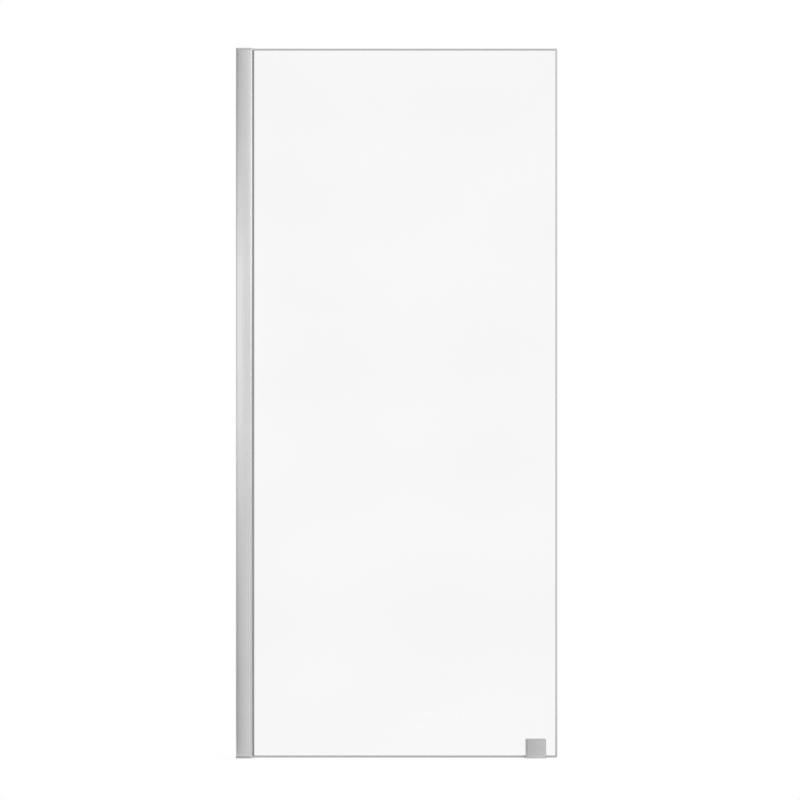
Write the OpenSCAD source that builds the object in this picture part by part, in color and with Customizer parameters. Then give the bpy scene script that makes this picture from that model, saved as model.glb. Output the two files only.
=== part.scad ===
// Fixed shower glass panel: a clear pane held along the wall by an adjustable two-part profile
// and at its free end by a clamp that is screwed to the shower tray.
// X runs from the wall to the free edge, Y from the front to the back, Z up from the tray.
// The origin is at the wall, in the middle of the glass's thickness, on the tray.

/* [Panel] */
// Overall height, from the tray to the top of the wall profile
panel_h = 2000; // [1800:10:2200]
// Overall width, from the wall to the free edge of the glass
panel_w = 905; // [700:5:1200]
// Thickness of the glass
glass_t = 8; // [6:1:10]
// Distance of the glass's top and bottom edges from the ends of the wall profile
glass_gap = 1.5; // [1:0.1:2.5]
// Bevel ground along the edges of the glass
arris = 2; // [0.5:0.1:2.2]
// Radius of the two corners at the free edge
glass_corner_r = 3; // [2:0.5:8]

/* [Wall channel] */
// How far the channel stands out from the wall
channel_d = 40; // [38:1:48]
// Thickness of the back, which is screwed to the wall
channel_back_t = 2; // [1.6:0.1:2.4]
// Thickness of the side walls at their edges
channel_wall_t = 2.2; // [1.8:0.1:3]
// Rise of the crowned front face in its middle
channel_crown = 0.7; // [0.4:0.1:1.2]
// Radius of the front edge beside the wall
channel_round = 5; // [3:0.5:5.5]
// Radius of the front edge at the mouth
mouth_round = 0.6; // [0.4:0.1:1]
// Radius of the back edge beside the wall
back_round = 2; // [1:0.5:3]
// Radius inside the channel's two corners
channel_fillet = 1; // [0.5:0.1:1.1]
// Radius of the holes for the wall screws
wall_hole_r = 2.75; // [2:0.25:3]
// Radius milled clear of the screw ports round each wall screw's head
wall_head_r = 5; // [4.5:0.25:6]
// Distance from each end to the nearest wall screw
wall_hole_end = 100; // [60:10:200]
// Number of wall screws
wall_hole_count = 4; // [3:1:6]

/* [Screw ports] */
// Radius of the open bores that the end caps are screwed into
port_r = 1.5; // [1.3:0.05:1.6]
// Thickness of the port's wall
port_wall = 1; // [0.8:0.1:1.1]
// Distance of the ports from the middle of the channel
port_y = 5.7; // [5.5:0.05:5.7]
// Distance of the ports' centres from the wall
port_x = 4; // [3.8:0.1:4.2]
// Width of the slot that opens each port
port_slot = 1.6; // [1:0.1:2]

/* [Lock rail] */
// Distance of the rail's middle from the channel's mouth
rail_inset = 9; // [8.5:0.25:11]
// Width of the rail that holds the lock screws
rail_w = 12; // [10:0.5:13]
// Height of the rail above the channel's back wall
rail_h = 2.6; // [2.2:0.1:3.4]
// Height of the rail's narrow neck
rail_neck_h = 0.9; // [0.8:0.1:1.2]
// Depth of the neck's undercut on each side
rail_undercut = 0.6; // [0.4:0.1:0.8]
// Radius of the lock screws
lock_screw_r = 2.5; // [2:0.25:3]
// Distance from each end to the nearest lock screw
lock_screw_end = 250; // [150:10:400]
// Number of lock screws
lock_screw_count = 4; // [3:1:6]
// Gap between the tips of the slackened lock screws and the carrier
lock_tip_gap = 0.3; // [0.25:0.05:0.5]
// Width across the flats of the lock screws' socket
lock_key = 2.5; // [2:0.5:2.5]

/* [Cover strip] */
// Thickness of the strip that snaps over the rail
strip_t = 1.2; // [0.9:0.1:1.5]
// Radius of the strip's two outer edges
strip_round = 1.8; // [1:0.1:2.2]

/* [Glass carrier] */
// Length of the carrier, from its tail to its nose
carrier_l = 38; // [34:0.5:38]
// Thickness of the carrier's side walls
carrier_wall = 1.5; // [1.2:0.1:2]
// Thickness of the floor of the glass pocket
pocket_floor_t = 1.6; // [1.2:0.1:2.5]
// How far the nose stands out of the channel
nose_show = 6.5; // [5.5:0.5:12]
// Length of the rounded shoulder of the nose
nose_bevel = 5; // [3:0.5:5.5]
// How much narrower the nose ends on each side
nose_drop = 2.8; // [1.5:0.1:3]
// Depth of the glass in its pocket
glass_bite = 14; // [12:0.5:16]
// Thickness of the packers between the glass and the pocket's floor
packer_t = 2; // [1:0.1:3]
// Length of one packer
packer_l = 80; // [40:10:120]
// Number of packers
packer_count = 5; // [3:1:8]
// Depth of the hooked lip at the nose that traps the gasket
lip_l = 2.6; // [2:0.1:3.4]
// Thickness of the hooked lip where it faces the glass
lip_reach = 2.3; // [1.5:0.1:2.5]

/* [Glazing gaskets] */
// Thickness of a gasket between the glass and the carrier
gasket_t = 4.5; // [4.2:0.1:5.5]
// Length of the gasket's root inside the pocket
gasket_root_l = 6.5; // [4:0.5:8]
// How far the gasket's bead shows beside the nose
gasket_show = 5; // [3:0.5:6]
// Thickness of the bead
bead_t = 2.4; // [2.2:0.1:3]
// Radius of the bead's outer edge
bead_round = 1.6; // [1:0.1:2]

/* [End caps] */
// Height of the caps on the channel's ends
cap_h = 5; // [3.2:0.1:6]
// Depth of the recess in the caps that the carrier's plugs slide in
cap_recess = 0.9; // [0.6:0.1:0.9]
// Radius of the cap screws
cap_screw_r = 1.45; // [1.2:0.05:1.45]
// Length of the cap screws
cap_screw_l = 14; // [10:1:20]
// Radius of the cap screws' heads
cap_head_r = 2.8; // [2.4:0.1:3]
// Height of the cap screws' heads
cap_head_h = 1.35; // [1.2:0.05:1.5]
// Width across the flats of the cap screws' socket
cap_key = 2; // [1.5:0.5:2]
// Length of the carrier plugs' stems
plug_stem_l = 15; // [8:1:30]

/* [Foot clamp] */
// Width of the clamp
foot_w = 58; // [50:1:80]
// Height of the clamp
foot_h = 54; // [48:1:70]
// Distance from the clamp to the free edge of the glass
foot_inset = 31.5; // [10:0.5:80]
// Thickness of the front plate at its sides
foot_front_t = 8; // [7:0.5:12]
// Rise of the front plate's crowned face
foot_crown = 0.6; // [0.3:0.1:1.2]
// Radius of the front plate's upright edges
foot_round = 5; // [3:0.5:6]
// Radius of the clamp's top corners, seen from the front
foot_corner_r = 3; // [2:0.5:6]
// Bevel along the front plate's top edge
foot_bevel = 1.2; // [0.8:0.1:2]
// Radius of the long edges at the top of the upright and at the end of the base
foot_back_round = 1.5; // [1:0.25:3]
// Thickness of the upright behind the glass
foot_rear_t = 7; // [6:0.5:10]
// Thickness of the base on the tray
foot_base_t = 7; // [6:0.5:10]
// Length of the base behind the upright
foot_base_l = 26; // [22:1:40]
// Radius of the fillet between the upright and the base
foot_fillet = 6; // [3:0.5:8]
// Thickness of the pads on both sides of the glass
foot_pad_t = 1.5; // [1:0.1:2]
// Margin between the pads' outline and the clamp's
foot_pad_margin = 1; // [0.5:0.1:2]
// Radius of the two clamp screws
bolt_r = 3; // [2.5:0.25:3.5]
// Distance between the clamp screws
bolt_spacing = 28; // [24:1:32]
// Height of the clamp screws above the tray
bolt_z = 32; // [28:1:34]
// Radius of the clamp screws' heads
bolt_head_r = 5.8; // [5:0.1:6.5]
// Height of the clamp screws' heads
bolt_head_h = 2.8; // [2.5:0.1:3.2]
// Width across the flats of the clamp screws' socket
bolt_key = 4; // [3:0.5:4]
// Length of thread of the clamp screws in the front plate
bolt_grip = 5; // [4:0.5:5.5]
// Radius of the two holes in the glass
glass_hole_r = 7; // [6:0.5:8]
// Radius of the holes for the tray screws
tray_hole_r = 2.6; // [2:0.1:3]
// Radius of the countersinks of the tray screws
tray_head_r = 5.2; // [4.5:0.1:6]
// Distance between the tray screws
tray_hole_spacing = 34; // [28:1:38]

/* [Clearances] */
// Clearance between the carrier and the channel on each side
slide_gap = 0.25; // [0.2:0.05:0.3]
// How far the panel can be pushed in from the place shown
slide_in = 5; // [3:0.5:5]
// Clearance between the end caps and the carrier's plugs
end_gap = 0.3; // [0.2:0.05:0.4]
// Clearance round screws, plugs and sleeves
fit_gap = 0.05; // [0.03:0.01:0.1]
// Clearance between the cover strip and its rail
snap_gap = 0.15; // [0.1:0.05:0.2]

/* [Hidden] */
$fn = 64;
over = 1; // how far a cutting body overshoots what it cuts
crown_fn = 1440; // sides of the large circles of the crowned faces
port_clear = 0.4; // space between the screw ports and the caps' pockets
stem_step = 1; // how far the stems of the carrier's plugs stand back from their flanges
tip_gap = 0.5; // space beyond the tips of the clamp screws

// Half thicknesses, from the glass outwards
half_glass = glass_t / 2;
lip_y = half_glass + gasket_t - lip_reach;
pocket_y = half_glass + gasket_t;
carrier_y = pocket_y + carrier_wall;
cavity_y = carrier_y + slide_gap;
side_y = cavity_y + channel_wall_t;

// Distances from the wall
nose_x = channel_d + nose_show;
glass_x = nose_x - glass_bite;
pocket_x = glass_x - packer_t;
floor_x = pocket_x - pocket_floor_t;
tail_x = nose_x - carrier_l;
bead_x = nose_x + gasket_show;
shoulder_r = (nose_bevel * nose_bevel + nose_drop * nose_drop) / (2 * nose_drop);
port_end_x = port_x + port_r + port_wall;
cap_pad_x = port_end_x + port_clear;
cap_reach_x = glass_x - slide_in - end_gap;
plug_x = cap_pad_x + slide_in + end_gap;

// Lock rail and cover strip
rail_x = channel_d - rail_inset;
rail_top_y = side_y + rail_h;
strip_half_w = rail_w / 2 + snap_gap + strip_t;
strip_top_y = rail_top_y + snap_gap + strip_t;
hook_x = rail_w / 2 - rail_undercut + snap_gap;
hook_y = side_y + rail_neck_h - snap_gap;

// Heights of the caps', the carrier's and the glass's parts
cap_skin = cap_h - cap_recess;
flange_z = cap_skin + end_gap;
flange_t = 1.5;
carrier_z = flange_z + flange_t;
stem_x = plug_x + stem_step;
glass_top = panel_h - glass_gap;

// Foot clamp
foot_x = panel_w - foot_inset - foot_w;
foot_mid_x = foot_x + foot_w / 2;
pad_y = half_glass + foot_pad_t;
foot_front_y = pad_y + foot_front_t;
upright_y = pad_y + foot_rear_t;
base_end_y = upright_y + foot_base_l;
tray_hole_y = upright_y + foot_base_l / 2 + foot_fillet / 4;
sleeve_y = half_glass - fit_gap;
round_lift = 0.002; // lets an edge round cross the crowned face, where it would only touch it
key_depth = 0.8; // share of a screw's head or radius that its socket goes in

// Radius of a circle on which a face of width w rises by rise in its middle
function crown_radius(w, rise) = (w * w / 4 + rise * rise) / (2 * rise);
// Depth of the centre of an edge round of radius r that touches the side and the crown
function round_depth(w, rise, r) =
    let (R = crown_radius(w, rise))
    R - rise - sqrt(pow(R - r, 2) - pow(w / 2 - r, 2));
// Distance from the side at which the edge round meets the crown
function round_reach(w, rise, r) =
    let (R = crown_radius(w, rise))
    w / 2 - (w / 2 - r) * R / (R - r);
// Evenly spaced places from first to last
function spread(first, last, count) =
    [for (i = [0:count - 1]) first + (last - first) * i / (count - 1)];

module span(x0, x1, y0, y1) {
    translate([x0, y0]) square([x1 - x0, y1 - y0]);
}

// What is left outside a round of radius r in a corner at the origin, open towards +X and +Y
module corner_cut(r) {
    difference() {
        span(-over, r, -over, r);
        translate([r, r]) circle(r = r);
    }
}

module both_sides() {
    children();
    mirror([0, 1, 0]) children();
}

// What is left outside an edge round of radius r between the side at x = 0 and the crowned face
module edge_cut(w, rise, r) {
    d = round_depth(w, rise, r) - round_lift;
    difference() {
        span(-over, round_reach(w, rise, r), -rise - over, d);
        translate([r, d]) circle(r = r);
    }
}

// Outline of a bar from x = 0 to w, with its crowned face towards -Y and its back at y = depth
module crowned_outline(w, depth, rise, r_left, r_right) {
    R = crown_radius(w, rise);
    difference() {
        intersection() {
            translate([w / 2, R - rise]) circle(r = R, $fn = crown_fn);
            span(0, w, -rise - over, depth);
        }
        edge_cut(w, rise, r_left);
        translate([w, 0]) mirror([1, 0]) edge_cut(w, rise, r_right);
    }
}

// Outside of the channel, rail included
module channel_outline() {
    difference() {
        translate([0, -side_y])
            crowned_outline(channel_d, 2 * side_y, channel_crown, channel_round, mouth_round);
        translate([0, side_y]) mirror([0, 1]) corner_cut(back_round);
    }
    span(rail_x - rail_w / 2 + rail_undercut, rail_x + rail_w / 2 - rail_undercut, side_y, rail_top_y);
    span(rail_x - rail_w / 2, rail_x + rail_w / 2, side_y + rail_neck_h, rail_top_y);
}

module channel_cavity() {
    difference() {
        span(channel_back_t, channel_d + over, -cavity_y, cavity_y);
        both_sides() translate([channel_back_t, -cavity_y]) corner_cut(channel_fillet);
    }
}

module port_outline() {
    translate([port_x, port_y]) difference() {
        circle(r = port_r + port_wall);
        circle(r = port_r);
        span(0, port_r + port_wall + over, -port_slot / 2, port_slot / 2);
    }
}

module channel_section() {
    difference() {
        union() {
            difference() {
                channel_outline();
                channel_cavity();
            }
            both_sides() port_outline();
        }
        both_sides() translate([port_x, port_y]) circle(r = port_r);
    }
}

module wall_channel() {
    color("lightgray") difference() {
        translate([0, 0, cap_h]) linear_extrude(panel_h - 2 * cap_h) channel_section();
        for (z = spread(wall_hole_end, panel_h - wall_hole_end, wall_hole_count))
            translate([0, 0, z]) rotate([0, 90, 0]) {
                translate([0, 0, -over]) cylinder(r = wall_hole_r, h = channel_back_t + 2 * over);
                translate([0, 0, channel_back_t]) cylinder(r = wall_head_r, h = port_end_x);
            }
        for (z = spread(lock_screw_end, panel_h - lock_screw_end, lock_screw_count))
            translate([rail_x, cavity_y - over, z])
                rotate([-90, 0, 0]) cylinder(r = lock_screw_r + fit_gap, h = rail_top_y);
    }
}

// Outside of the strip, as a closed bar
module strip_outline() {
    difference() {
        span(rail_x - strip_half_w, rail_x + strip_half_w, side_y, strip_top_y);
        for (side = [0, 1])
            translate([rail_x, 0]) mirror([side, 0])
                translate([-strip_half_w, strip_top_y]) mirror([0, 1]) corner_cut(strip_round);
    }
}

module channel_cover_strip() {
    color("gainsboro") translate([0, 0, cap_h]) linear_extrude(panel_h - 2 * cap_h) difference() {
        strip_outline();
        span(rail_x - strip_half_w - over, rail_x + strip_half_w + over, side_y - over, side_y + snap_gap);
        span(rail_x - rail_w / 2 - snap_gap, rail_x + rail_w / 2 + snap_gap, hook_y, rail_top_y + snap_gap);
        span(rail_x - hook_x, rail_x + hook_x, side_y, rail_top_y);
    }
}

module lock_screws() {
    tip_y = carrier_y + lock_tip_gap;
    screw_l = rail_top_y - snap_gap - tip_y;
    color("dimgray")
        for (z = spread(lock_screw_end, panel_h - lock_screw_end, lock_screw_count))
            translate([rail_x, tip_y, z]) rotate([-90, 0, 0]) difference() {
                cylinder(r = lock_screw_r, h = screw_l);
                translate([0, 0, screw_l - lock_key])
                    cylinder(r = lock_key / sqrt(3), h = lock_key + over, $fn = 6);
            }
}

// Cap for the bottom end of the channel, with a notch that the glass slides through
module channel_cap() {
    color("darkgray") difference() {
        linear_extrude(cap_h) union() {
            channel_outline();
            strip_outline();
        }
        translate([0, 0, cap_skin])
            linear_extrude(cap_h) span(cap_pad_x, channel_d + over, -cavity_y, cavity_y);
        translate([0, 0, -over])
            linear_extrude(cap_h + 2 * over) span(cap_reach_x, channel_d + over, -cavity_y, cavity_y);
        for (side = [-1, 1])
            translate([port_x, side * port_y, 0]) {
                translate([0, 0, -over]) cylinder(r = cap_screw_r + fit_gap, h = cap_h + 2 * over);
                cylinder(r1 = cap_head_r + fit_gap, r2 = cap_screw_r + fit_gap, h = cap_head_h + fit_gap);
                translate([0, 0, -over]) cylinder(r = cap_head_r + fit_gap, h = over);
            }
    }
}

module channel_bottom_cap() {
    channel_cap();
}

module channel_top_cap() {
    translate([0, 0, panel_h]) mirror([0, 0, 1]) channel_cap();
}

module cap_screw() {
    difference() {
        union() {
            cylinder(r1 = cap_head_r, r2 = cap_screw_r, h = cap_head_h);
            cylinder(r = cap_screw_r, h = cap_screw_l);
        }
        translate([0, 0, -over])
            cylinder(r = cap_key / sqrt(3), h = over + key_depth * cap_head_h, $fn = 6);
    }
}

module cap_screws() {
    color("silver")
        for (side = [-1, 1]) {
            translate([port_x, side * port_y, 0]) cap_screw();
            translate([port_x, side * port_y, panel_h]) mirror([0, 0, 1]) cap_screw();
        }
}

// Outline of the pane seen from the front, between the wall side and the free edge
module pane_outline() {
    difference() {
        span(glass_x, panel_w, glass_gap, glass_top);
        translate([panel_w, glass_gap]) mirror([1, 0]) corner_cut(glass_corner_r);
        translate([panel_w, glass_top]) rotate(180) corner_cut(glass_corner_r);
    }
}

// Section of the pane between two edges a and b, with its ground bevels
module bevelled_section(a, b) {
    polygon([
        [a, -half_glass + arris], [a + arris, -half_glass], [b - arris, -half_glass],
        [b, -half_glass + arris], [b, half_glass - arris], [b - arris, half_glass],
        [a + arris, half_glass], [a, half_glass - arris]
    ]);
}

module foot_bolts() {
    for (side = [-1, 1])
        translate([foot_mid_x + side * bolt_spacing / 2, 0, bolt_z]) rotate([-90, 0, 0]) children();
}

module glass_pane() {
    color("azure", 0.35) difference() {
        intersection() {
            translate([0, half_glass, 0]) rotate([90, 0, 0]) linear_extrude(glass_t) pane_outline();
            linear_extrude(panel_h) bevelled_section(glass_x, panel_w);
            translate([panel_w, 0, 0]) rotate([0, -90, 0])
                linear_extrude(panel_w) bevelled_section(glass_gap, glass_top);
        }
        foot_bolts() translate([0, 0, -glass_t]) cylinder(r = glass_hole_r, h = 2 * glass_t);
    }
}

// Half of the carrier's section: side wall, rounded nose, hooked lip and half of the pocket's floor
module carrier_half() {
    shoulder_x = nose_x - nose_bevel;
    span(tail_x, shoulder_x, pocket_y, carrier_y);
    span(floor_x, pocket_x, 0, pocket_y);
    difference() {
        intersection() {
            translate([shoulder_x, carrier_y - shoulder_r]) circle(r = shoulder_r, $fn = 2 * $fn);
            span(shoulder_x, nose_x, lip_y, carrier_y + over);
        }
        span(shoulder_x - over, nose_x - lip_l, lip_y - over, pocket_y);
    }
}

module glass_carrier() {
    color("silver") translate([0, 0, carrier_z])
        linear_extrude(panel_h - 2 * carrier_z) both_sides() carrier_half();
}

// Outline of the nose and the gaskets' beads, which the carrier's plugs cover
module nose_outline() {
    shoulder_x = nose_x - nose_bevel;
    span(glass_x, shoulder_x, -carrier_y, carrier_y);
    both_sides() intersection() {
        translate([shoulder_x, carrier_y - shoulder_r]) circle(r = shoulder_r, $fn = 2 * $fn);
        span(shoulder_x, nose_x, 0, carrier_y + over);
    }
    span(nose_x, bead_x, -half_glass - bead_t, half_glass + bead_t);
}

// Plug for the bottom end of the carrier, with a pad under the glass's corner
module carrier_plug() {
    difference() {
        union() {
            linear_extrude(carrier_z) nose_outline();
            translate([0, 0, flange_z])
                linear_extrude(flange_t) span(plug_x, glass_x, -carrier_y, carrier_y);
        }
        translate([0, 0, -over]) linear_extrude(carrier_z + 2 * over)
            span(glass_x, bead_x + over, -half_glass, half_glass);
    }
    translate([0, 0, carrier_z - fit_gap]) linear_extrude(plug_stem_l)
        span(stem_x, floor_x - fit_gap, -pocket_y + fit_gap, pocket_y - fit_gap);
    linear_extrude(glass_gap) span(glass_x, bead_x, -half_glass, half_glass);
}

module carrier_bottom_plug() {
    color("darkgray") carrier_plug();
}

module carrier_top_plug() {
    color("darkgray") translate([0, 0, panel_h]) mirror([0, 0, 1]) carrier_plug();
}

// Section of the rear gasket: root behind the hooked lip, neck, and the bead that shows
module gasket_section() {
    lip_x = nose_x - lip_l;
    span(lip_x - gasket_root_l, lip_x, half_glass, pocket_y);
    span(lip_x, nose_x, half_glass, lip_y);
    difference() {
        span(nose_x, bead_x, half_glass, half_glass + bead_t);
        translate([bead_x, half_glass + bead_t]) rotate(180) corner_cut(bead_round);
    }
}

module gasket_strip() {
    color("dimgray") translate([0, 0, carrier_z])
        linear_extrude(panel_h - 2 * carrier_z) gasket_section();
}

module glazing_gasket_rear() {
    gasket_strip();
}

module glazing_gasket_front() {
    mirror([0, 1, 0]) gasket_strip();
}

module edge_packers() {
    first = carrier_z + packer_l;
    color("white")
        for (z = spread(first, panel_h - first, packer_count))
            translate([pocket_x, 0, z - packer_l / 2])
                linear_extrude(packer_l) span(0, packer_t, arris - half_glass, half_glass - arris);
}

// Outline of the clamp seen from the front, drawn in by margin, with its top corners rounded
module foot_face(margin) {
    x0 = foot_x + margin;
    x1 = foot_x + foot_w - margin;
    top = foot_h - margin;
    difference() {
        span(x0, x1, margin > 0 ? glass_gap : 0, top);
        translate([x0, top]) mirror([0, 1]) corner_cut(foot_corner_r);
        translate([x1, top]) rotate(180) corner_cut(foot_corner_r);
    }
}

// A plate with the clamp's outline between the depths y0 and y1
module foot_plate(y0, y1, margin) {
    translate([0, y1, 0]) rotate([90, 0, 0]) linear_extrude(y1 - y0) foot_face(margin);
}

module foot_front_plate() {
    apex_y = foot_front_y + foot_crown;
    color("silver") difference() {
        intersection() {
            foot_plate(-apex_y - over, -pad_y, 0);
            translate([foot_x, -foot_front_y, 0]) linear_extrude(foot_h)
                crowned_outline(foot_w, foot_front_t, foot_crown, foot_round, foot_round);
            translate([foot_x, 0, 0]) rotate([90, 0, 90]) linear_extrude(foot_w) polygon([
                [-pad_y, 0], [-pad_y, foot_h], [foot_bevel - apex_y, foot_h],
                [-apex_y - over, foot_h - foot_bevel - over], [-apex_y - over, 0]
            ]);
        }
        foot_bolts() translate([0, 0, -pad_y - bolt_grip - tip_gap])
            cylinder(r = bolt_r + fit_gap, h = bolt_grip + tip_gap + over);
    }
}

module foot_body() {
    head_in = tray_head_r - tray_hole_r;
    color("silver") difference() {
        intersection() {
            union() {
                foot_plate(pad_y, upright_y, 0);
                translate([foot_x, pad_y, 0]) cube([foot_w, base_end_y - pad_y, foot_base_t]);
                translate([foot_x, upright_y, foot_base_t]) rotate([90, 0, 90]) linear_extrude(foot_w)
                    difference() {
                        span(-over, foot_fillet, -over, foot_fillet);
                        translate([foot_fillet, foot_fillet]) circle(r = foot_fillet);
                    }
            }
            linear_extrude(foot_h) difference() {
                span(foot_x, foot_x + foot_w, pad_y, base_end_y);
                translate([foot_x, base_end_y]) mirror([0, 1]) corner_cut(foot_round);
                translate([foot_x + foot_w, base_end_y]) rotate(180) corner_cut(foot_round);
            }
            translate([foot_x, 0, 0]) rotate([90, 0, 90]) linear_extrude(foot_w) difference() {
                span(pad_y, base_end_y, 0, foot_h);
                translate([upright_y, foot_h]) rotate(180) corner_cut(foot_back_round);
                translate([base_end_y, foot_base_t]) rotate(180) corner_cut(foot_back_round);
            }
        }
        foot_bolts() translate([0, 0, pad_y - over])
            cylinder(r = bolt_r + fit_gap, h = foot_rear_t + 2 * over);
        foot_bolts() translate([0, 0, upright_y - bolt_head_h - fit_gap])
            cylinder(r1 = bolt_r + fit_gap, r2 = bolt_head_r + fit_gap, h = bolt_head_h + fit_gap);
        for (side = [-1, 1])
            translate([foot_mid_x + side * tray_hole_spacing / 2, tray_hole_y, 0]) {
                translate([0, 0, -over]) cylinder(r = tray_hole_r, h = foot_base_t + 2 * over);
                translate([0, 0, foot_base_t - head_in])
                    cylinder(r1 = tray_hole_r, r2 = tray_head_r, h = head_in);
            }
    }
}

module foot_gasket(y0, y1) {
    color("gray") difference() {
        foot_plate(y0, y1, foot_pad_margin);
        foot_bolts() translate([0, 0, y0 - over]) cylinder(r = bolt_r + fit_gap, h = y1 - y0 + 2 * over);
    }
}

module foot_gasket_front() {
    foot_gasket(-pad_y, -half_glass);
}

module foot_gasket_rear() {
    foot_gasket(half_glass, pad_y);
}

module foot_clamp_screws() {
    color("silver") foot_bolts() difference() {
        union() {
            translate([0, 0, -pad_y - bolt_grip])
                cylinder(r = bolt_r, h = bolt_grip + pad_y + upright_y - bolt_head_h);
            translate([0, 0, upright_y - bolt_head_h])
                cylinder(r1 = bolt_r, r2 = bolt_head_r, h = bolt_head_h - fit_gap);
        }
        translate([0, 0, upright_y - key_depth * bolt_head_h])
            cylinder(r = bolt_key / sqrt(3), h = bolt_head_h, $fn = 6);
    }
}

module foot_bolt_sleeves() {
    color("white") foot_bolts() difference() {
        translate([0, 0, -sleeve_y]) cylinder(r = glass_hole_r - fit_gap, h = 2 * sleeve_y);
        translate([0, 0, -half_glass]) cylinder(r = bolt_r + fit_gap, h = glass_t);
    }
}

module foot_setting_pad() {
    color("gray") translate([foot_x + foot_pad_margin, arris - half_glass, 0])
        cube([foot_w - 2 * foot_pad_margin, glass_t - 2 * arris, glass_gap]);
}

wall_channel();
channel_cover_strip();
lock_screws();
channel_top_cap();
channel_bottom_cap();
cap_screws();
glass_pane();
glass_carrier();
carrier_top_plug();
carrier_bottom_plug();
glazing_gasket_front();
glazing_gasket_rear();
edge_packers();
foot_body();
foot_front_plate();
foot_gasket_front();
foot_gasket_rear();
foot_clamp_screws();
foot_bolt_sleeves();
foot_setting_pad();
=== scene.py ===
import math

import bmesh
import bpy
import numpy as np
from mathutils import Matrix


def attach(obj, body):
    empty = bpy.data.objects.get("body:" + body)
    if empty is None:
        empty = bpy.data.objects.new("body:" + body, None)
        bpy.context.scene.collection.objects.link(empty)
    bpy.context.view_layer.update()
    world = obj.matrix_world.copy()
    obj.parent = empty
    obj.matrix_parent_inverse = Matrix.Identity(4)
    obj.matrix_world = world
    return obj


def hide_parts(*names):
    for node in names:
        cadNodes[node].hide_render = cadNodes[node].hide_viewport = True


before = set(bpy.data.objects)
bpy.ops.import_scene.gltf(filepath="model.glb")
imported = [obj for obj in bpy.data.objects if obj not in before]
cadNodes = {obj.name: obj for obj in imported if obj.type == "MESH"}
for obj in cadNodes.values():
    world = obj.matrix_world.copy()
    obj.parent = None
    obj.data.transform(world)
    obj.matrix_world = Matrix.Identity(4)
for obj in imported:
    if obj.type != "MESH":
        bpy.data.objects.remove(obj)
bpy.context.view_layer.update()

scene = bpy.context.scene
mm = 0.001  # shapes are worked out in millimetres, meshes are in metres
over = 1    # how far a cutter stands out past what it cuts, in millimetres


# small tools for colours and nodes

def linearColour(code):
    # sRGB hex code to linear red, green, blue, with alpha 1
    parts = np.array([int(code[i:i + 2], 16) for i in (1, 3, 5)]) / 255
    linear = np.where(parts <= 0.04045, parts / 12.92, ((parts + 0.055) / 1.055) ** 2.4)
    return (*linear.tolist(), 1.0)


def addNode(tree, kind, inputs=None, **settings):
    # a node with its settings; an input given as another node's output is linked, anything else is set
    node = tree.nodes.new(kind)
    for name, value in settings.items():
        setattr(node, name, value)
    for socket, value in (inputs or {}).items():
        if isinstance(value, bpy.types.NodeSocket):
            tree.links.new(value, node.inputs[socket])
        else:
            node.inputs[socket].default_value = value
    return node


# materials

def newSurface(name, metallic=0.0, roughness=0.5, ior=1.5, transmission=0.0):
    material = bpy.data.materials.new(name)
    material.use_nodes = True
    shader = material.node_tree.nodes["Principled BSDF"]
    shader.inputs["Metallic"].default_value = metallic
    shader.inputs["Roughness"].default_value = roughness
    shader.inputs["IOR"].default_value = ior
    shader.inputs["Transmission Weight"].default_value = transmission
    return material, material.node_tree, shader


def grain(tree, size, detail=2.0):
    # noise whose patches measure size (x, y, z) in millimetres, fixed to the piece
    place = addNode(tree, "ShaderNodeTexCoord").outputs["Object"]
    scaled = addNode(tree, "ShaderNodeMapping", {"Vector": place, "Scale": [1 / (s * mm) for s in size]})
    noise = addNode(tree, "ShaderNodeTexNoise",
                    {"Vector": scaled.outputs["Vector"], "Scale": 1.0, "Detail": detail})
    return noise.outputs["Fac"]


def ranged(tree, share, low, high):
    # noise stays mostly between 0.3 and 0.7, so that part of it is stretched from low to high
    return addNode(tree, "ShaderNodeMapRange", {"Value": share, "From Min": 0.3, "From Max": 0.7,
                                                "To Min": low, "To Max": high}).outputs["Result"]


def tinted(tree, shader, share, dark, light):
    # the noise leads from one colour to the other; 0, 6, 7 and 2 are the Mix node's colour sockets
    mixed = addNode(tree, "ShaderNodeMix", {
        0: ranged(tree, share, 0, 1), 6: linearColour(dark), 7: linearColour(light)}, data_type="RGBA")
    tree.links.new(mixed.outputs[2], shader.inputs["Base Color"])


def roughened(tree, shader, share, low, high):
    # the noise leads from one roughness to the other
    tree.links.new(ranged(tree, share, low, high), shader.inputs["Roughness"])


def bumped(tree, shader, share, height, strength):
    # height in millimetres between the noise's lowest and highest places
    bump = addNode(tree, "ShaderNodeBump", {"Height": share, "Distance": height * mm, "Strength": strength})
    tree.links.new(bump.outputs["Normal"], shader.inputs["Normal"])


def makeSatinAluminium():
    # Extruded 6060 aluminium, etched and clear anodised: a soft silver sheen with fine die lines along
    # the bar. Real die lines lie 0.1 to 0.3 mm apart, drawn 1.5 mm apart so that they can be seen.
    material, tree, shader = newSurface("satinAnodisedAluminium", metallic=1.0, roughness=0.27)
    lines = grain(tree, (1.5, 1.5, 1200), detail=3.0)
    cloud = grain(tree, (45, 45, 160))
    tinted(tree, shader, cloud, "#d6d6d6", "#dcdcdc")
    roughened(tree, shader, lines, low=0.25, high=0.3)
    bumped(tree, shader, lines, height=0.006, strength=0.2)
    return material


def makeSatinChrome():
    # Cast zinc, fine blasted and chrome plated: a cooler and tighter sheen than the aluminium.
    # The blasted grain is about 0.1 mm, drawn at 0.6 mm.
    material, tree, shader = newSurface("satinChromePlate", metallic=1.0, roughness=0.3)
    blasted = grain(tree, (0.6, 0.6, 0.6), detail=3.0)
    cloud = grain(tree, (18, 18, 18))
    tinted(tree, shader, cloud, "#cccccc", "#d1d1d1")
    roughened(tree, shader, blasted, low=0.26, high=0.31)
    bumped(tree, shader, blasted, height=0.01, strength=0.4)
    return material


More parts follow.
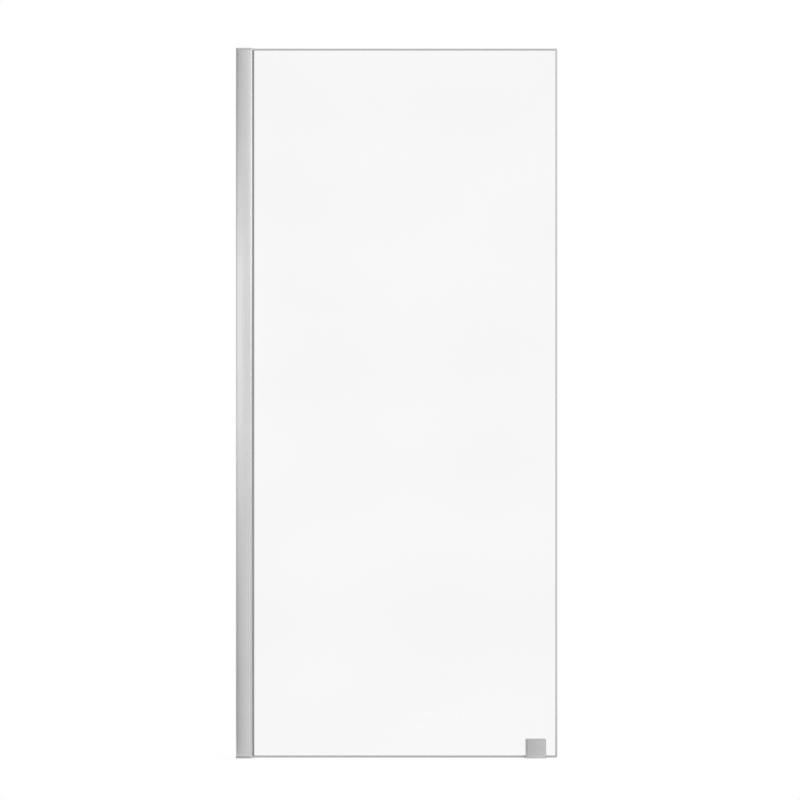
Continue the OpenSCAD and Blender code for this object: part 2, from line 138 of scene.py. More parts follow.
def makeStainlessSteel():
    # Turned A2 stainless screws: bright and slightly warm, with turning marks 0.3 mm apart
    material, tree, shader = newSurface("turnedStainlessSteel", metallic=1.0, roughness=0.25)
    marks = grain(tree, (0.3, 0.3, 0.3), detail=1.0)
    tinted(tree, shader, marks, "#bcbbb8", "#c8c7c4")
    roughened(tree, shader, marks, low=0.2, high=0.32)
    bumped(tree, shader, marks, height=0.01, strength=0.3)
    return material


def makeAbs(name, dark, light):
    # Moulded ABS with a fine spark-eroded grain of about 0.4 mm: matt, with the tone of its pigment
    material, tree, shader = newSurface(name, roughness=0.55, ior=1.54)
    eroded = grain(tree, (0.4, 0.4, 0.4), detail=2.0)
    tinted(tree, shader, eroded, dark, light)
    roughened(tree, shader, eroded, low=0.5, high=0.62)
    bumped(tree, shader, eroded, height=0.03, strength=0.5)
    return material


def makeGreySeal():
    # Extruded EPDM seal, talc-dulled: matt grey with faint drag lines along its length
    material, tree, shader = newSurface("extrudedEpdmGrey", roughness=0.7, ior=1.5)
    drag = grain(tree, (0.8, 0.8, 300), detail=2.0)
    tinted(tree, shader, drag, "#989897", "#a1a1a0")
    roughened(tree, shader, drag, low=0.65, high=0.78)
    bumped(tree, shader, drag, height=0.02, strength=0.5)
    return material


def makeClearVinyl():
    # Soft clear PVC pads and sleeves: milky, with a dulled gloss
    material, tree, shader = newSurface("softClearVinyl", roughness=0.35, ior=1.53, transmission=0.55)
    haze = grain(tree, (4, 4, 4))
    tinted(tree, shader, haze, "#d9dcdb", "#e4e6e5")
    roughened(tree, shader, haze, low=0.3, high=0.42)
    return material


def makeClearGlass():
    # Toughened float glass: clear, faintly green, with the roller wave of toughening every 250 mm
    material, tree, shader = newSurface("clearFloatGlass", roughness=0.0, ior=1.52, transmission=1.0)
    wave = grain(tree, (400, 400, 250), detail=0.0)
    tinted(tree, shader, wave, "#f7f7f7", "#f8f9f8")
    bumped(tree, shader, wave, height=0.02, strength=0.3)
    return material


def makePolishedEdge():
    # The polished edge of the pane: light that has run along the glass comes out green
    material, tree, shader = newSurface("polishedGlassEdge", roughness=0.08, ior=1.52, transmission=0.35)
    depth = grain(tree, (30, 3, 30))
    tinted(tree, shader, depth, "#86ac9d", "#9bbfb1")
    roughened(tree, shader, depth, low=0.06, high=0.12)
    return material


def makeGroundArris():
    # The bevel along each edge, ground with a fine diamond wheel: frosted, so it shows as a dark line
    material, tree, shader = newSurface("groundGlassArris", roughness=0.6, ior=1.52)
    wheel = grain(tree, (1.2, 1.2, 1.2), detail=2.0)
    tinted(tree, shader, wheel, "#c8cbc9", "#d2d4d3")
    roughened(tree, shader, wheel, low=0.5, high=0.7)
    bumped(tree, shader, wheel, height=0.02, strength=0.4)
    return material


satinAluminium = makeSatinAluminium()
satinChrome = makeSatinChrome()
stainlessSteel = makeStainlessSteel()
greyAbs = makeAbs("mouldedAbsGrey", "#c6c6c5", "#cececd")
lightAbs = makeAbs("mouldedAbsLightGrey", "#dadad9", "#e0e0df")
greySeal = makeGreySeal()
clearVinyl = makeClearVinyl()
clearGlass = makeClearGlass()
polishedEdge = makePolishedEdge()
groundArris = makeGroundArris()
print("materials made")


# shapes

def arc(centre, radius, start, end, step=7.5):
    # centre plus radius times (cosine, sine) of angles spread evenly from start to end, in degrees
    turns = np.radians(np.linspace(start, end, int(abs(end - start) / step) + 2))
    return np.column_stack([centre[0] + radius * np.cos(turns), centre[1] + radius * np.sin(turns)])


def corners(points, radius=0.0):
    # points (x, y, corner radius); plain points (x, y) all get the same radius
    points = np.asarray(points, float)
    return points if points.shape[1] == 3 else np.column_stack([points, np.full(len(points), radius)])


def roundOff(points, steps=7):
    # Each corner of radius r becomes an arc that touches both of its sides. It starts and ends at
    # r / tan(half the corner's angle) from the corner, and turns evenly about a centre on the bisector.
    # Two small floors keep straight corners from dividing by nought, and points that lie within a
    # thousandth of a millimetre of the one before are left out.
    spots, radii = points[:, :2], points[:, 2:]
    back, ahead = np.roll(spots, 1, 0) - spots, np.roll(spots, -1, 0) - spots
    back /= np.linalg.norm(back, axis=1, keepdims=True)
    ahead /= np.linalg.norm(ahead, axis=1, keepdims=True)
    half = np.arccos(np.clip((back * ahead).sum(1, keepdims=True), -1, 1)) / 2
    bisector = (back + ahead) / np.maximum(np.linalg.norm(back + ahead, axis=1, keepdims=True), 1e-9)
    centre = spots + bisector * radii / np.sin(half)
    first = spots + back * radii / np.tan(half) - centre
    last = spots + ahead * radii / np.tan(half) - centre
    turn = np.maximum(np.pi - 2 * half, 1e-6)
    share = np.linspace(0, 1, steps)[:, None, None]
    arcs = centre + (np.sin((1 - share) * turn) * first + np.sin(share * turn) * last) / np.sin(turn)
    outline = arcs.transpose(1, 0, 2).reshape(-1, 2)
    apart = np.linalg.norm(outline - np.roll(outline, 1, 0), axis=1)
    return outline[apart > 1e-3]


def crownedFace(width, rise, leftRound, rightRound, sideY, step=0.5):
    # A face from x = 0 to width whose middle stands rise in front of y = sideY, on a circle of radius
    # width^2 / (8 rise) + rise / 2. Each edge round touches that circle from inside and the bar's side.
    big = (width ** 2 / 4 + rise ** 2) / (2 * rise)
    centreY = sideY + big - rise

    def edge(r, middle):
        y = centreY - math.sqrt((big - r) ** 2 - (width / 2 - r) ** 2)
        return (middle, y), math.degrees(math.atan2(y - centreY, middle - width / 2))

    (left, leftTurn), (right, rightTurn) = edge(leftRound, leftRound), edge(rightRound, width - rightRound)
    return np.vstack([arc(left, leftRound, -180, leftTurn),
                      arc((width / 2, centreY), big, leftTurn, rightTurn, step)[1:-1],
                      arc(right, rightRound, rightTurn, 0)])


def skin(name, rings):
    # A closed skin over rings of points: a quad between each two neighbours of neighbouring rings,
    # and one flat face over the first and the last ring. Points within a micrometre become one.
    count, size = rings.shape[:2]
    spot = np.arange(count * size).reshape(count, size)
    beside = np.roll(spot, -1, 1)
    quads = np.stack([spot[:-1], beside[:-1], beside[1:], spot[1:]], -1).reshape(-1, 4)
    mesh = bpy.data.meshes.new(name)
    mesh.from_pydata((rings.reshape(-1, 3) * mm).tolist(), [],
                     quads.tolist() + [spot[0, ::-1].tolist(), spot[-1].tolist()])
    work = bmesh.new()
    work.from_mesh(mesh)
    bmesh.ops.remove_doubles(work, verts=work.verts, dist=1e-6)
    bmesh.ops.recalc_face_normals(work, faces=work.faces)
    work.to_mesh(mesh)
    work.free()
    piece = bpy.data.objects.new(name, mesh)
    scene.collection.objects.link(piece)
    return piece


def alongZ(outline, heights):
    # one ring (x, y, height) of the outline for each height
    rings = np.empty((len(heights), len(outline), 3))
    rings[:, :, :2] = outline
    rings[:, :, 2] = np.asarray(heights)[:, None]
    return rings


def alongY(outline, depths):
    # one ring (x, depth, z) of the outline for each depth
    return alongZ(outline, depths)[:, :, [0, 2, 1]]


def turned(axis, foot, profile, sides=32):
    # A ring for each (distance along the axis, radius) of the profile, about the line through foot
    # along axis 0, 1 or 2: foot + distance on the axis, radius times cosine and sine on the others.
    # It starts half a step round, because a point on a middle line leaves slivers where it cuts.
    profile = np.asarray(profile, float)
    turns = (np.arange(sides) + 0.5) * 2 * np.pi / sides
    rings = np.empty((len(profile), sides, 3))
    rings[:, :, axis] = profile[:, :1]
    rings[:, :, (axis + 1) % 3] = profile[:, 1:] * np.cos(turns)
    rings[:, :, (axis + 2) % 3] = profile[:, 1:] * np.sin(turns)
    return rings + np.asarray(foot, float)


def drill(piece, holes, flatWithin=0.05):
    # Takes each closed skin of rings out of the piece, then joins the faces that the cuts split, where
    # they lie within flatWithin degrees of one plane.
    for rings in holes:
        cutter = skin("cutter", rings)
        cut = piece.modifiers.new("hole", "BOOLEAN")
        cut.operation, cut.solver, cut.object = "DIFFERENCE", "EXACT", cutter
        drilled = bpy.data.meshes.new_from_object(piece.evaluated_get(bpy.context.evaluated_depsgraph_get()))
        piece.modifiers.clear()
        drilled.name = piece.name
        piece.data = drilled
        bpy.data.objects.remove(cutter)
    work = bmesh.new()
    work.from_mesh(piece.data)
    bmesh.ops.dissolve_limit(work, angle_limit=math.radians(flatWithin), verts=work.verts, edges=work.edges)
    work.to_mesh(piece.data)
    work.free()


def finishPiece(piece, material, body, slotName, *nodes, sharpFrom=19):
    # Smooth over rounds, whose faces turn by less than sharpFrom degrees, sharp at real corners, with
    # flat faces kept flat. The piece rides on the body and stands for the nodes.
    if not piece.data.materials:
        piece.data.materials.append(material)
    piece.data.shade_smooth()
    piece.data.set_sharp_from_angle(angle=math.radians(sharpFrom))
    flat = piece.modifiers.new("keepFlats", "WEIGHTED_NORMAL")
    flat.keep_sharp = True
    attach(piece, body)
    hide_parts(*nodes)
    print("made", piece.name, len(piece.data.polygons), "faces")


# wall channel: one closed outline, run from cap to cap
channel = {
    "depth": 40, "sideY": 12.45, "crown": 0.7, "wallRound": 5, "mouthRound": 0.6, "backRound": 2,
    "cavityY": 10.25, "back": 2, "fillet": 1, "dieRound": 0.25, "bottom": 5.5, "top": 1994.5,
    "portX": 4, "portY": 5.7, "portR": 1.5, "portWall": 1, "portSlot": 1.6,
    "railFrom": 25, "railTo": 37, "railNeck": 13.35, "railTop": 15.05, "railUndercut": 0.6, "railRound": 0.15,
    "wallHoles": (100, 700, 1300, 1900), "wallHoleR": 2.75,
    # round each wall screw the ports are cut off, from just above the channel's back
    "portCutR": 5, "portCutFrom": 2.05, "portCutTo": 8,
    "lockHoles": (250, 750, 1250, 1750), "lockHoleR": 2.55,
}


def portOutline(side):
    # An open C round the screw bore: out of the back, round to the slot, round the bore and back. Each
    # arc ends where its circle meets the back, at arccos(distance / radius), or the slot, at arcsin.
    c = channel
    outer, slot = c["portR"] + c["portWall"], c["portSlot"] / 2
    reach = math.degrees(math.acos((c["back"] - c["portX"]) / outer))
    outerSlot = math.degrees(math.asin(slot / outer))
    boreSlot = math.degrees(math.asin(slot / c["portR"]))
    centre = (c["portX"], side * c["portY"])
    return np.vstack([arc(centre, outer, -reach, -outerSlot),
                      arc(centre, c["portR"], -boreSlot, boreSlot - 360),
                      arc(centre, outer, outerSlot, reach)])


def makeChannel():
    # one outline, face, cavity with its two ports, rail and rounded back, carried from end to end
    c = channel
    sharp = c["dieRound"]
    neckFrom, neckTo = c["railFrom"] + c["railUndercut"], c["railTo"] - c["railUndercut"]
    face = crownedFace(c["depth"], c["crown"], c["wallRound"], c["mouthRound"], -c["sideY"])
    outline = roundOff(np.vstack([
        corners(face),
        corners([(c["depth"], -c["cavityY"])], sharp),
        corners([(c["back"], -c["cavityY"])], c["fillet"]),
        corners(portOutline(-1)), corners(portOutline(1)),
        corners([(c["back"], c["cavityY"])], c["fillet"]),
        corners([(c["depth"], c["cavityY"]), (c["depth"], c["sideY"])], sharp),
        corners([(neckTo, c["sideY"]), (neckTo, c["railNeck"]),
                 (c["railTo"], c["railNeck"]), (c["railTo"], c["railTop"]),
                 (c["railFrom"], c["railTop"]), (c["railFrom"], c["railNeck"]),
                 (neckFrom, c["railNeck"]), (neckFrom, c["sideY"])], c["railRound"]),
        corners([(0, c["sideY"])], c["backRound"]),
    ]))
    piece = skin("wallChannelBar", alongZ(outline, (c["bottom"], c["top"])))
    railMid = (c["railFrom"] + c["railTo"]) / 2
    wallHole = [(-over, c["wallHoleR"]), (c["portCutFrom"], c["wallHoleR"]),
                (c["portCutFrom"], c["portCutR"]), (c["portCutTo"], c["portCutR"])]
    lockHole = [(c["cavityY"] - over, c["lockHoleR"]), (c["railTop"] + over, c["lockHoleR"])]
    drill(piece, [turned(0, (0, 0, z), wallHole) for z in c["wallHoles"]]
          + [turned(1, (railMid, 0, z), lockHole) for z in c["lockHoles"]])
    finishPiece(piece, satinAluminium, "wall_frame", "satin_aluminium", "wall_channel")


makeChannel()

# cover strip: a shallow clip with two hooks that snaps over the rail
coverStrip = {"middle": 31, "halfWidth": 7.35, "foot": 12.6, "top": 16.4, "round": 1.8, "innerHalf": 6.15,
              "innerTop": 15.2, "hookHalf": 5.55, "hookTop": 13.2, "dieRound": 0.12}


def makeCoverStrip():
    # one outline, a lid with two legs whose hooks turn inwards, carried from end to end
    s = coverStrip
    m, sharp = s["middle"], s["dieRound"]
    outline = roundOff(corners([
        (m - s["halfWidth"], s["foot"], sharp), (m - s["halfWidth"], s["top"], s["round"]),
        (m + s["halfWidth"], s["top"], s["round"]), (m + s["halfWidth"], s["foot"], sharp),
        (m + s["hookHalf"], s["foot"], sharp), (m + s["hookHalf"], s["hookTop"], sharp),
        (m + s["innerHalf"], s["hookTop"], sharp), (m + s["innerHalf"], s["innerTop"], sharp),
        (m - s["innerHalf"], s["innerTop"], sharp), (m - s["innerHalf"], s["hookTop"], sharp),
        (m - s["hookHalf"], s["hookTop"], sharp), (m - s["hookHalf"], s["foot"], sharp)]))
    piece = skin("coverStripBar", alongZ(outline, (channel["bottom"], channel["top"])))
    finishPiece(piece, satinAluminium, "wall_frame", "satin_aluminium", "channel_cover_strip")


makeCoverStrip()

# glass carrier: grips the pane in a pocket, with a rounded nose and hooked lips
carrier = {"tail": 8.5, "floorFrom": 28.9, "floorTo": 30.5, "pocketY": 8.5, "outY": 10, "shoulder": 41.5,
           "nose": 46.5, "shoulderR": 5.864, "lipFrom": 43.9, "lipY": 6.2, "dieRound": 0.2,
           "bottom": 5.9, "top": 1994.1}


def makeCarrier():
    # one outline, a tail, a pocket with hooked lips and a rounded nose, carried from end to end
    c = carrier
    sharp, outY, inY = c["dieRound"], c["outY"], c["pocketY"]
    drop = math.degrees(math.asin((c["nose"] - c["shoulder"]) / c["shoulderR"]))
    front = arc((c["shoulder"], c["shoulderR"] - outY), c["shoulderR"], -90, drop - 90, step=5)
    rear = arc((c["shoulder"], outY - c["shoulderR"]), c["shoulderR"], 90 - drop, 90, step=5)
    outline = roundOff(np.vstack([
        corners([(c["tail"], -inY), (c["tail"], -outY)], sharp),
        corners(front),
        corners([(c["nose"], -c["lipY"]), (c["lipFrom"], -c["lipY"]), (c["lipFrom"], -inY),
                 (c["floorTo"], -inY), (c["floorTo"], inY), (c["lipFrom"], inY),
                 (c["lipFrom"], c["lipY"]), (c["nose"], c["lipY"])], sharp),
        corners(rear),
        corners([(c["tail"], outY), (c["tail"], inY),
                 (c["floorFrom"], inY), (c["floorFrom"], -inY)], sharp)]))
    piece = skin("glassCarrierBar", alongZ(outline, (c["bottom"], c["top"])))
    finishPiece(piece, satinAluminium, "glass_panel", "satin_aluminium", "glass_carrier")


makeCarrier()

# seals: the root sits behind the lip, the bead shows beside the nose
seal = {"from": 37.4, "glassY": 4, "rootY": 8.5, "beadEnd": 51.5, "beadY": 6.4, "beadRound": 1.6,
        "softRound": 0.1, "lipRound": 0.05}


def makeSeal(name, side, node):
    # one outline, root, neck between lip and glass and bead, mirrored in y for the front
    s, c = seal, carrier
    outline = roundOff(corners([
        (s["from"], s["glassY"], s["softRound"]), (s["beadEnd"], s["glassY"], s["softRound"]),
        (s["beadEnd"], s["beadY"], s["beadRound"]), (c["nose"], s["beadY"], s["lipRound"]),
        (c["nose"], c["lipY"], s["lipRound"]), (c["lipFrom"], c["lipY"], s["lipRound"]),
        (c["lipFrom"], s["rootY"], s["softRound"]), (s["from"], s["rootY"], s["softRound"])])) * (1, side)
    piece = skin(name, alongZ(outline, (c["bottom"], c["top"])))
    finishPiece(piece, greySeal, "glass_panel", "grey_seal", node)


makeSeal("sealFront", -1, "glazing_gasket_front")
makeSeal("sealRear", 1, "glazing_gasket_rear")

# pane: each face is smaller than the edge by the width of the ground bevel, which is drawn wider than
# the 1 to 2 mm of a real one, so that it shows
pane = {"from": 32.5, "to": 905, "bottom": 1.5, "top": 1998.5, "half": 4, "arris": 2, "arrisWidth": 5.5,
        "cornerR": 3, "cornerLeast": 0.1, "holes": (830.5, 858.5), "holeZ": 32, "holeR": 7, "holeReach": 9}


def paneOutline(inset):
    # the pane's rectangle drawn in by inset, its free corners rounded by what the inset leaves
    p = pane
    r = max(p["cornerR"] - inset, p["cornerLeast"])
    return roundOff(corners([
        (p["from"] + inset, p["bottom"] + inset, 0), (p["to"] - inset, p["bottom"] + inset, r),
        (p["to"] - inset, p["top"] - inset, r), (p["from"] + inset, p["top"] - inset, 0)]), steps=9)


def makePane():
    # four outlines through the thickness: face, edge, edge and face, with a bevel between face and edge
    p = pane
    flat, edge = p["half"], p["half"] - p["arris"]
    rings = np.vstack([alongY(paneOutline(inset), [y]) for inset, y in
                       ((p["arrisWidth"], -flat), (0, -edge), (0, edge), (p["arrisWidth"], flat))])
    piece = skin("clearPane", rings)
    hole = [(-p["holeReach"], p["holeR"]), (p["holeReach"], p["holeR"])]
    drill(piece, [turned(1, (x, 0, p["holeZ"]), hole) for x in p["holes"]])
    mesh = piece.data
    mesh.materials.clear()
    for material in (clearGlass, polishedEdge, groundArris):
        mesh.materials.append(material)
    normals = np.empty(len(mesh.polygons) * 3, np.float32)
    mesh.polygons.foreach_get("normal", normals)
    across = np.abs(normals.reshape(-1, 3)[:, 1])  # 1 on the two faces, 0 on the edge, between on the bevel
    isFace, isEdge = across > 0.98, across < 0.1
    mesh.polygons.foreach_set("material_index", np.select([isFace, isEdge], [0, 1], 2).astype(np.int32))
    # light reaches the pads and the floor through the glass
    piece.visible_shadow = piece.visible_diffuse = False
    finishPiece(piece, clearGlass, "glass_panel", "clear_glass", "glass_pane")


makePane()

# clamp at the tray: a crowned plate in front and an angle behind
clamp = {
    "from": 815.5, "to": 873.5, "height": 54, "cornerR": 3, "cornerSteps": 10, "castRound": 0.2,
    "padY": 5.5, "frontT": 8, "crown": 0.6, "frontRound": 5, "bevel": 1.2, "bevelSteps": 5,
    "uprightY": 12.5, "baseEnd": 38.5, "baseT": 7, "fillet": 6, "backRound": 1.5, "baseRound": 5,
    "screws": (830.5, 858.5), "screwZ": 32, "screwR": 3.05, "headR": 5.85, "headDepth": 2.85, "grip": 5.5,
    "trayScrews": (827.5, 861.5), "trayY": 27, "trayR": 2.6, "trayHeadR": 5.2,
}


def endPlaces(low, high, radius, steps=8):
    # places from low to high, close together near both ends: radius times (1 - cosine) from each end
    near = radius * (1 - np.cos(np.linspace(0, np.pi / 2, steps)))
    return np.concatenate([low + near, high - near[::-1]])


def makeFrontPlate():
    # The crowned outline is stacked along z. At each height x is held within the half width that the
    # top corners leave, half - r + root(r^2 - (z - start)^2), and y behind the bevel at 45 degrees. One
    # ring lies a millimetre below the corners' round, so that the long face under it is shaded evenly.
    c = clamp
    width = c["to"] - c["from"]
    middle = (c["from"] + c["to"]) / 2
    sideY = -c["padY"] - c["frontT"]
    face = crownedFace(width, c["crown"], c["frontRound"], c["frontRound"], sideY) + (c["from"], 0)
    padSide = corners([(c["to"], -c["padY"]), (c["from"], -c["padY"])], c["castRound"])
    outline = roundOff(np.vstack([corners(face), padSide]))
    start = c["height"] - c["cornerR"]
    turns = np.linspace(0, np.pi / 2, c["cornerSteps"])
    bevelStart = c["height"] - c["bevel"]
    heights = np.unique(np.concatenate([[0, start - 1], start + c["cornerR"] * np.sin(turns),
                                        bevelStart + np.linspace(0, c["bevel"], c["bevelSteps"])]).round(4))
    rings = alongZ(outline, heights)
    z = rings[:, :, 2]
    rise = np.maximum(z - start, 0)
    half = width / 2 - c["cornerR"] + np.sqrt(np.maximum(c["cornerR"] ** 2 - rise ** 2, 0))
    rings[:, :, 0] = np.clip(rings[:, :, 0], middle - half, middle + half)
    apex = sideY - c["crown"]
    rings[:, :, 1] = np.maximum(rings[:, :, 1], apex + z - bevelStart)
    piece = skin("clampFrontPlate", rings)
    thread = [(-c["padY"] - c["grip"], c["screwR"]), (0, c["screwR"])]
    drill(piece, [turned(1, (x, 0, c["screwZ"]), thread) for x in c["screws"]])
    finishPiece(piece, satinChrome, "glass_panel", "satin_chrome", "foot_front_plate")


def makeAngle():
    # The L is carried along x. At each place z is held under the top corners' round and y inside the
    # round of the base's end, each start + root(r^2 - distance^2).
    c = clamp
    cast = c["castRound"]
    outline = roundOff(corners([
        (c["padY"], 0, cast), (c["padY"], c["height"], cast), (c["uprightY"], c["height"], c["backRound"]),
        (c["uprightY"], c["baseT"], c["fillet"]), (c["baseEnd"], c["baseT"], c["backRound"]),
        (c["baseEnd"], 0, cast)]), steps=9)
    places = np.unique(np.concatenate([endPlaces(c["from"], c["to"], c["cornerR"]),
                                       endPlaces(c["from"], c["to"], c["baseRound"])]).round(4))
    rings = alongZ(outline, places)[:, :, [2, 0, 1]]
    inside = np.minimum(rings[:, :, 0] - c["from"], c["to"] - rings[:, :, 0])
    for axis, limit, radius in ((2, c["height"], c["cornerR"]), (1, c["baseEnd"], c["baseRound"])):
        distance = np.maximum(radius - inside, 0)
        reach = limit - radius + np.sqrt(np.maximum(radius ** 2 - distance ** 2, 0))
        rings[:, :, axis] = np.minimum(rings[:, :, axis], reach)
    piece = skin("clampAngle", rings)
    headIn = c["trayHeadR"] - c["trayR"]
    clampHole = [(0, c["screwR"]), (c["uprightY"] - c["headDepth"], c["screwR"]),
                 (c["uprightY"], c["headR"]), (c["uprightY"] + over, c["headR"])]
    trayHole = [(-over, c["trayR"]), (c["baseT"] - headIn, c["trayR"]),
                (c["baseT"], c["trayHeadR"]), (c["baseT"] + over, c["trayHeadR"])]
    drill(piece, [turned(1, (x, 0, c["screwZ"]), clampHole) for x in c["screws"]]
          + [turned(2, (x, c["trayY"], 0), trayHole) for x in c["trayScrews"]])
    finishPiece(piece, satinChrome, "glass_panel", "satin_chrome", "foot_body")


makeFrontPlate()
makeAngle()

# the small parts keep their CAD shape and get their real finish
nodeFinishes = {
    "channel_top_cap": greyAbs, "channel_bottom_cap": greyAbs,
    "carrier_top_plug": lightAbs, "carrier_bottom_plug": lightAbs,
    "cap_screws": stainlessSteel, "lock_screws": stainlessSteel, "foot_clamp_screws": stainlessSteel,
    "edge_packers": clearVinyl, "foot_gasket_front": clearVinyl, "foot_gasket_rear": clearVinyl,
    "foot_bolt_sleeves": clearVinyl, "foot_setting_pad": clearVinyl,
}
for name, material in nodeFinishes.items():
    cadNodes[name].data.materials.clear()
    cadNodes[name].data.materials.append(material)
print("finishes on", len(nodeFinishes), "small parts")


# studio: pale floor, soft surroundings, four soft panels
studio = {
    "floorX": (-0.9, 2.3), "floorY": (-0.22, 1.8), "floorZ": -0.0002, "floorColours": ("#f3f3f2", "#f7f7f6"),
    "floorShadowShare": 0.25, "floorGlow": 1.14, "floorFade": {"front": 0.2, "back": 0.9, "sides": 0.5},
    # grey of the studio in front of the object, from its left (-1) to its right (1)
    "field": ((-1.0, "#cbcbcb"), (-0.7, "#9c9c9c"), (-0.45, "#6a6a6a"), (-0.3, "#656565"), (-0.16, "#707070"),
              (-0.08, "#d5d5d5"), (0.0, "#ebebeb"), (0.08, "#d2d2d2"), (0.18, "#ffffff"), (0.45, "#ffffff"),
              (0.7, "#dcdcdc"), (1.0, "#b6b6b6")),
    # soft panels, each between two places (x, y) seen from above and between two heights
    "panels": (
        {"name": "sidePanel", "start": (-4.1, 2.5), "end": (-4.1, -2.0),
         "low": 0.0, "high": 2.2, "watts": 23},
        {"name": "leftPanel", "start": (-2.75, -3.05), "end": (0.0, -5.26),
         "low": 0.4, "high": 2.15, "watts": 31},
        {"name": "farPanel", "start": (1.2, -6.0), "end": (3.6, -4.9),
         "low": 0.4, "high": 3.5, "watts": 46},
        {"name": "rightPanel", "start": (1.5, -3.0), "end": (3.4, -0.5),
         "low": 1.2, "high": 2.5, "watts": 11.5},
    ),
    "panelEnds": 0.18,  # share of each panel's length over which it fades at an end
    "behind": (0.65, 0.9),  # the direction's y from where the backdrop begins to where it is whole
    "below": (-0.12, -0.3),  # the direction's z, the same for the floor further out
}


def makeFloor():
    # The floor is white, as the backdrop is, with a share of its real shade so that shadows stay. Seen
    # straight or through glass the white is raised a little, which makes up for that share. It fades out
    # towards its edges by smoothsteps of the distance to the front, to the back and to the sides.
    s = studio
    (x0, x1), (y0, y1), z = s["floorX"], s["floorY"], s["floorZ"]
    mesh = bpy.data.meshes.new("floor")
    mesh.from_pydata([(x0, y0, z), (x1, y0, z), (x1, y1, z), (x0, y1, z)], [], [(0, 1, 2, 3)])
    floor = bpy.data.objects.new("floor", mesh)
    scene.collection.objects.link(floor)
    material, tree, shader = newSurface("paleFloor", roughness=0.9)
    shader.inputs["Specular IOR Level"].default_value = 0
    tinted(tree, shader, grain(tree, (3, 3, 3)), *s["floorColours"])
    path = addNode(tree, "ShaderNodeLightPath").outputs
    direct = addNode(tree, "ShaderNodeMath", {0: path["Is Camera Ray"], 1: path["Is Transmission Ray"]},
                     operation="MAXIMUM").outputs[0]
    shown = addNode(tree, "ShaderNodeMath", {0: direct, 1: path["Is Glossy Ray"]},
                    operation="MAXIMUM").outputs[0]
    share = addNode(tree, "ShaderNodeMath", {0: shown, 1: 1 - s["floorShadowShare"]},
                    operation="MULTIPLY").outputs[0]
    strength = addNode(tree, "ShaderNodeMath", {0: direct, 1: s["floorGlow"] - 1, 2: 1.0},
                       operation="MULTIPLY_ADD").outputs[0]
    glow = addNode(tree, "ShaderNodeEmission", {"Strength": strength})
    mixed = addNode(tree, "ShaderNodeMixShader",
                    {0: share, 1: shader.outputs["BSDF"], 2: glow.outputs["Emission"]})
    place = addNode(tree, "ShaderNodeTexCoord").outputs["Object"]
    split = addNode(tree, "ShaderNodeSeparateXYZ", {"Vector": place}).outputs
    fade, solid = s["floorFade"], 1.0
    for value, edge, inner in ((split["Y"], y0, y0 + fade["front"]), (split["Y"], y1, y1 - fade["back"]),
                               (split["X"], x0, x0 + fade["sides"]), (split["X"], x1, x1 - fade["sides"])):
        near = addNode(tree, "ShaderNodeMapRange", {"Value": value, "From Min": edge, "From Max": inner},
                       interpolation_type="SMOOTHSTEP").outputs["Result"]
        solid = addNode(tree, "ShaderNodeMath", {0: solid, 1: near}, operation="MULTIPLY").outputs[0]
    clear = addNode(tree, "ShaderNodeBsdfTransparent")
    faded = addNode(tree, "ShaderNodeMixShader", {0: solid, 1: clear.outputs["BSDF"], 2: mixed.outputs[0]})
    tree.links.new(faded.outputs[0], tree.nodes["Material Output"].inputs["Surface"])
    mesh.materials.append(material)


def makeWorld():
    # The backdrop behind the object and the floor further out are white, also through glass and in
    # mirrors. The studio in front is a soft grey, darkest on the left, which is what the metal mirrors.
    world = bpy.data.worlds.new("studio")
    scene.world = world
    world.use_nodes = True
    tree = world.node_tree
    direction = addNode(tree, "ShaderNodeTexCoord").outputs["Generated"]
    split = addNode(tree, "ShaderNodeSeparateXYZ", {"Vector": direction})
    leftToRight = addNode(tree, "ShaderNodeMapRange", {"Value": split.outputs["X"], "From Min": -1.0,
                                                       "From Max": 1.0}).outputs["Result"]
    ramp = addNode(tree, "ShaderNodeValToRGB", {"Fac": leftToRight})
    stops = ramp.color_ramp.elements
    while len(stops) < len(studio["field"]):
        stops.new(0.5)  # the next loop puts it in its place
    for stop, (place, colour) in zip(stops, studio["field"]):
        stop.position = (place + 1) / 2
        stop.color = linearColour(colour)
    path = addNode(tree, "ShaderNodeLightPath").outputs
    white = addNode(tree, "ShaderNodeMath", {0: path["Is Camera Ray"], 1: path["Is Transmission Ray"]},
                    operation="MAXIMUM").outputs[0]
    for axis, (start, whole) in (("Y", studio["behind"]), ("Z", studio["below"])):
        around = addNode(tree, "ShaderNodeMapRange", {
            "Value": split.outputs[axis], "From Min": start, "From Max": whole},
            interpolation_type="SMOOTHSTEP").outputs["Result"]
        white = addNode(tree, "ShaderNodeMath", {0: white, 1: around}, operation="MAXIMUM").outputs[0]
    mixed = addNode(tree, "ShaderNodeMix", {0: white, 6: ramp.outputs["Color"], 7: (1, 1, 1, 1)},
                    data_type="RGBA")
    tree.links.new(mixed.outputs[2], tree.nodes["Background"].inputs["Color"])


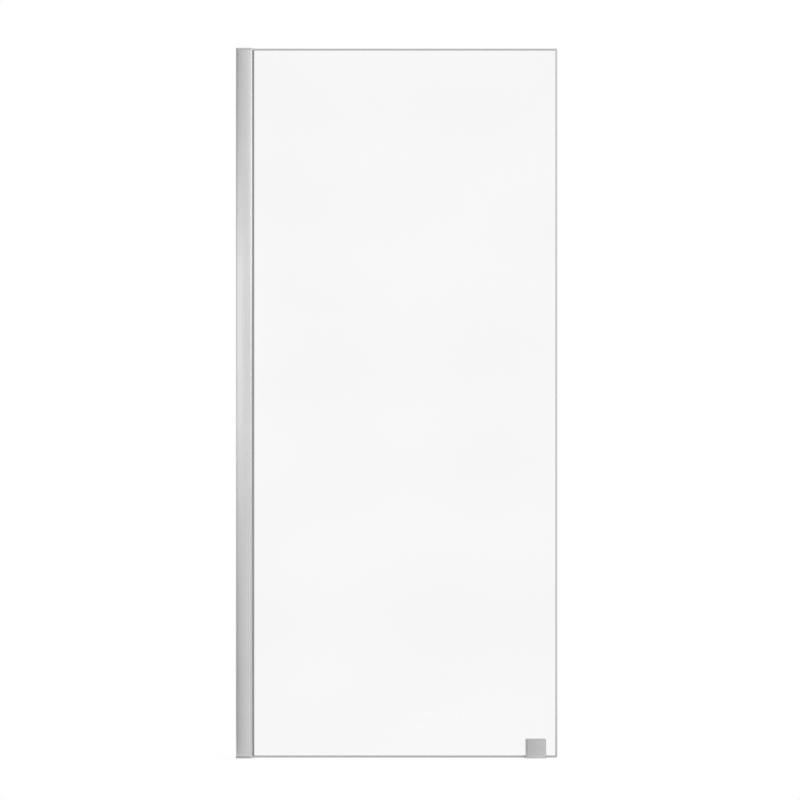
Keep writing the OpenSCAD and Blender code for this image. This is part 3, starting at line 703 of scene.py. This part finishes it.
def feather(lamp):
    # Strength 1 along the middle of the panel and nothing at its edges, so that mirrors show no hard edge:
    # smoothstep of the distance to the nearer end over a share of the length, times smoothstep of the
    # distance to the nearer long side over half the height. Places on it run from 0 to 1 both ways.
    lamp.use_nodes = True
    tree = lamp.node_tree
    place = addNode(tree, "ShaderNodeNewGeometry").outputs["Parametric"]
    moved = addNode(tree, "ShaderNodeVectorMath", {0: place, 1: (0.5, 0.5, 0)},
                    operation="SUBTRACT").outputs[0]
    fromMiddle = addNode(tree, "ShaderNodeVectorMath", {0: moved}, operation="ABSOLUTE").outputs[0]
    apart = addNode(tree, "ShaderNodeSeparateXYZ", {"Vector": fromMiddle}).outputs
    ends, sides = (addNode(tree, "ShaderNodeMapRange", {"Value": value, "From Min": 0.5, "From Max": full},
                           interpolation_type="SMOOTHSTEP").outputs["Result"]
                   for value, full in ((apart["X"], 0.5 - studio["panelEnds"]), (apart["Y"], 0.0)))
    strength = addNode(tree, "ShaderNodeMath", {0: ends, 1: sides}, operation="MULTIPLY").outputs[0]
    tree.links.new(strength, tree.nodes["Emission"].inputs["Strength"])


def makePanels():
    # The side and left panels are mirrored by the profile's wall side and face, the far and right ones by
    # its nose. Each stands upright and faces the object from start to end.
    for panel in studio["panels"]:
        start, end = np.array(panel["start"]), np.array(panel["end"])
        along = end - start
        lamp = bpy.data.lights.new(panel["name"], "AREA")
        lamp.shape = "RECTANGLE"
        lamp.size = float(np.linalg.norm(along))
        lamp.size_y = panel["high"] - panel["low"]
        lamp.energy = panel["watts"]
        feather(lamp)
        holder = bpy.data.objects.new(panel["name"], lamp)
        holder.location = (*((start + end) / 2), (panel["low"] + panel["high"]) / 2)
        holder.rotation_euler = (math.radians(90), 0, math.atan2(along[1], along[0]))
        holder.visible_camera = holder.visible_transmission = False
        scene.collection.objects.link(holder)


# camera: the photograph is frontal and nearly without perspective, so a long lens stands far back
cameraView = {"place": (0.4621, -11.27, 1.0087), "lens": 180, "sensor": 36, "farthest": 100}


def makeCamera():
    view = cameraView
    camera = bpy.data.cameras.new("camera")
    camera.lens = view["lens"]
    camera.sensor_width = view["sensor"]
    camera.clip_end = view["farthest"]
    holder = bpy.data.objects.new("camera", camera)
    holder.location = view["place"]
    holder.rotation_euler = (math.radians(90), 0, 0)
    scene.collection.objects.link(holder)
    scene.camera = holder


makeFloor()
makeWorld()
makePanels()
makeCamera()
scene.view_settings.view_transform = "Standard"
print("studio made")
